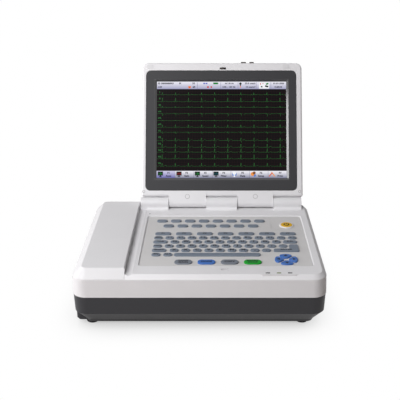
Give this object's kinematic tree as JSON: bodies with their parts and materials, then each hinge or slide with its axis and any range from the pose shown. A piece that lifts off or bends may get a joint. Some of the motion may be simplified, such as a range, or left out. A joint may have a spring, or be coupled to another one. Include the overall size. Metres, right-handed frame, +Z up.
{
  "type": "ecg machine",
  "caption": "Tabletop electrocardiograph with a fold-down display lid, a keyboard and a paper strip recorder under a sliding cover.",
  "frame": {"origin": "on the table, under the middle of the whole machine with its lid open", "axes": "+X to the user's right, +Y away from the user, +Z up"},
  "size_m": [0.4028, 0.4128, 0.3502],
  "materials": {
    "case_white": "fine moulded texture",
    "cover_white": "fine moulded texture",
    "case_dark": "fine moulded texture",
    "foot_rubber": "matt",
    "steel": "plated",
    "panel_grey": "satin",
    "mat_rubber": "matt",
    "circuit_board": "solder mask",
    "lamp_lens": "translucent",
    "bezel_dark": "fine moulded texture",
    "screen_glass": "clear",
    "display_black": "polariser",
    "supply_metal": "zinc plated",
    "battery_wrap": "shrink wrap",
    "socket_black": "moulded",
    "socket_grey": "moulded",
    "earth_brass": "nickel plated",
    "frame_metal": "zinc plated",
    "head_metal": "extruded",
    "platen_rubber": "ground",
    "gear_plastic": "moulded",
    "motor_metal": "plated can",
    "paper_white": "thermal paper",
    "core_card": "card tube",
    "key_grey": "satin",
    "key_pale_grey": "satin",
    "key_blue": "satin",
    "key_green": "satin",
    "key_yellow": "satin",
    "latch_dark": "moulded"
  },
  "bodies": {
    "base": {"bottom_case": "case_dark", "top_case": "case_white", "rubber_feet": "foot_rubber", "case_screws": "steel", "keyboard_panel": "panel_grey", "keypad_mat": "mat_rubber", "keyboard_board": "circuit_board", "power_ring": "case_white", "led_lenses": "lamp_lens", "catch_plate": "latch_dark", "hinge_pins": "steel", "main_board": "circuit_board", "power_supply": "supply_metal", "battery_pack": "battery_wrap", "battery_door": "case_dark", "speaker": "socket_black", "mains_inlet": "socket_black", "earth_pin": "earth_brass", "ecg_connector": "socket_grey", "data_ports": "supply_metal", "printer_frame": "frame_metal", "print_head": "head_metal", "stepper_motor": "motor_metal"},
    "recorder_cover": {"recorder_cover": "cover_white"},
    "platen": {"platen_roller": "platen_rubber", "platen_shaft": "steel", "platen_gear": "gear_plastic"},
    "idler_gear": {"idler_gear": "gear_plastic"},
    "motor_pinion": {"motor_pinion": "gear_plastic"},
    "paper": {"paper_roll": "paper_white", "paper_core": "core_card"},
    "lid": {"lid_front_frame": "case_white", "lid_back_cover": "case_white", "screen_bezel": "bezel_dark", "display_glass": "screen_glass", "display_panel": "display_black", "display_board": "circuit_board", "hinge_covers": "case_white", "lid_screw_caps": "case_white", "lid_bumpers": "foot_rubber"},
    "lid_latch": {"lid_latch": "latch_dark"},
    "rear_soft_keys": {"rear_soft_keys": "key_grey"},
    "front_soft_keys": {"front_soft_keys": "key_grey"},
    "preset_keys": {"preset_keys": "key_grey"},
    "number_keys": {"number_keys": "key_grey"},
    "upper_letter_keys": {"upper_letter_keys": "key_grey"},
    "middle_letter_keys": {"middle_letter_keys": "key_grey"},
    "lower_letter_keys": {"lower_letter_keys": "key_grey"},
    "modifier_keys": {"modifier_keys": "key_grey"},
    "gain_key": {"gain_key": "key_pale_grey"},
    "mode_key": {"mode_key": "key_blue"},
    "copy_key": {"copy_key": "key_pale_grey"},
    "start_key": {"start_key": "key_green"},
    "space_bar": {"space_bar": "key_grey"},
    "enter_key": {"enter_key": "key_grey"},
    "power_key": {"power_key": "key_yellow"},
    "arrow_right_key": {"arrow_right_key": "key_blue"},
    "arrow_up_key": {"arrow_up_key": "key_blue"},
    "arrow_left_key": {"arrow_left_key": "key_blue"},
    "arrow_down_key": {"arrow_down_key": "key_blue"}
  },
  "joints": [
    {"name": "lid_hinge", "type": "hinge", "parent": "base", "child": "lid", "pos_m": [0.0375, 0.07422, 0.107], "axis": [1, 0, 0], "range_deg": [-15, 116.2]},
    {"name": "latch_slide", "type": "slide", "parent": "lid", "child": "lid_latch", "axis": [1, 0, 0], "range_m": [0, 0.003], "stiffness_N_per_m": 400},
    {"name": "cover_slide", "type": "slide", "parent": "base", "child": "recorder_cover", "axis": [-1, 0, 0], "range_m": [0, 0.06]},
    {"name": "platen_spin", "type": "hinge", "parent": "base", "child": "platen", "pos_m": [-0.178, 0, 0.0805], "axis": [0, 1, 0], "continuous": true},
    {"name": "idler_spin", "type": "hinge", "parent": "base", "child": "idler_gear", "pos_m": [-0.1577, 0, 0.07311], "axis": [0, 1, 0], "continuous": true},
    {"name": "pinion_spin", "type": "hinge", "parent": "base", "child": "motor_pinion", "pos_m": [-0.13879, 0, 0.06978], "axis": [0, 1, 0], "continuous": true},
    {"name": "paper_spin", "type": "hinge", "parent": "base", "child": "paper", "pos_m": [-0.15, 0, 0.0439], "axis": [0, 1, 0], "continuous": true},
    {"name": "rear_soft_keys_press", "type": "slide", "parent": "base", "child": "rear_soft_keys", "axis": [0, 0, -1], "range_m": [0, 0.0015], "stiffness_N_per_m": 500},
    {"name": "front_soft_keys_press", "type": "slide", "parent": "base", "child": "front_soft_keys", "axis": [0, 0, -1], "range_m": [0, 0.0015], "stiffness_N_per_m": 500},
    {"name": "preset_keys_press", "type": "slide", "parent": "base", "child": "preset_keys", "axis": [0, 0, -1], "range_m": [0, 0.0015], "stiffness_N_per_m": 500},
    {"name": "number_keys_press", "type": "slide", "parent": "base", "child": "number_keys", "axis": [0, 0, -1], "range_m": [0, 0.0015], "stiffness_N_per_m": 500},
    {"name": "upper_letter_keys_press", "type": "slide", "parent": "base", "child": "upper_letter_keys", "axis": [0, 0, -1], "range_m": [0, 0.0015], "stiffness_N_per_m": 500},
    {"name": "middle_letter_keys_press", "type": "slide", "parent": "base", "child": "middle_letter_keys", "axis": [0, 0, -1], "range_m": [0, 0.0015], "stiffness_N_per_m": 500},
    {"name": "lower_letter_keys_press", "type": "slide", "parent": "base", "child": "lower_letter_keys", "axis": [0, 0, -1], "range_m": [0, 0.0015], "stiffness_N_per_m": 500},
    {"name": "modifier_keys_press", "type": "slide", "parent": "base", "child": "modifier_keys", "axis": [0, 0, -1], "range_m": [0, 0.0015], "stiffness_N_per_m": 500},
    {"name": "gain_key_press", "type": "slide", "parent": "base", "child": "gain_key", "axis": [0, 0, -1], "range_m": [0, 0.0015], "stiffness_N_per_m": 500},
    {"name": "mode_key_press", "type": "slide", "parent": "base", "child": "mode_key", "axis": [0, 0, -1], "range_m": [0, 0.0015], "stiffness_N_per_m": 500},
    {"name": "copy_key_press", "type": "slide", "parent": "base", "child": "copy_key", "axis": [0, 0, -1], "range_m": [0, 0.0015], "stiffness_N_per_m": 500},
    {"name": "start_key_press", "type": "slide", "parent": "base", "child": "start_key", "axis": [0, 0, -1], "range_m": [0, 0.0015], "stiffness_N_per_m": 500},
    {"name": "space_bar_press", "type": "slide", "parent": "base", "child": "space_bar", "axis": [0, 0, -1], "range_m": [0, 0.0015], "stiffness_N_per_m": 500},
    {"name": "enter_key_press", "type": "slide", "parent": "base", "child": "enter_key", "axis": [0, 0, -1], "range_m": [0, 0.0015], "stiffness_N_per_m": 500},
    {"name": "power_key_press", "type": "slide", "parent": "base", "child": "power_key", "axis": [0, 0, -1], "range_m": [0, 0.0015], "stiffness_N_per_m": 500},
    {"name": "arrow_right_key_press", "type": "slide", "parent": "base", "child": "arrow_right_key", "axis": [0, 0, -1], "range_m": [0, 0.0015], "stiffness_N_per_m": 500},
    {"name": "arrow_up_key_press", "type": "slide", "parent": "base", "child": "arrow_up_key", "axis": [0, 0, -1], "range_m": [0, 0.0015], "stiffness_N_per_m": 500},
    {"name": "arrow_left_key_press", "type": "slide", "parent": "base", "child": "arrow_left_key", "axis": [0, 0, -1], "range_m": [0, 0.0015], "stiffness_N_per_m": 500},
    {"name": "arrow_down_key_press", "type": "slide", "parent": "base", "child": "arrow_down_key", "axis": [0, 0, -1], "range_m": [0, 0.0015], "stiffness_N_per_m": 500}
  ],
  "couplings": [
    {"joint": "idler_spin", "follows": "platen_spin", "ratio": -0.8},
    {"joint": "pinion_spin", "follows": "platen_spin", "ratio": 1.3333}
  ]
}
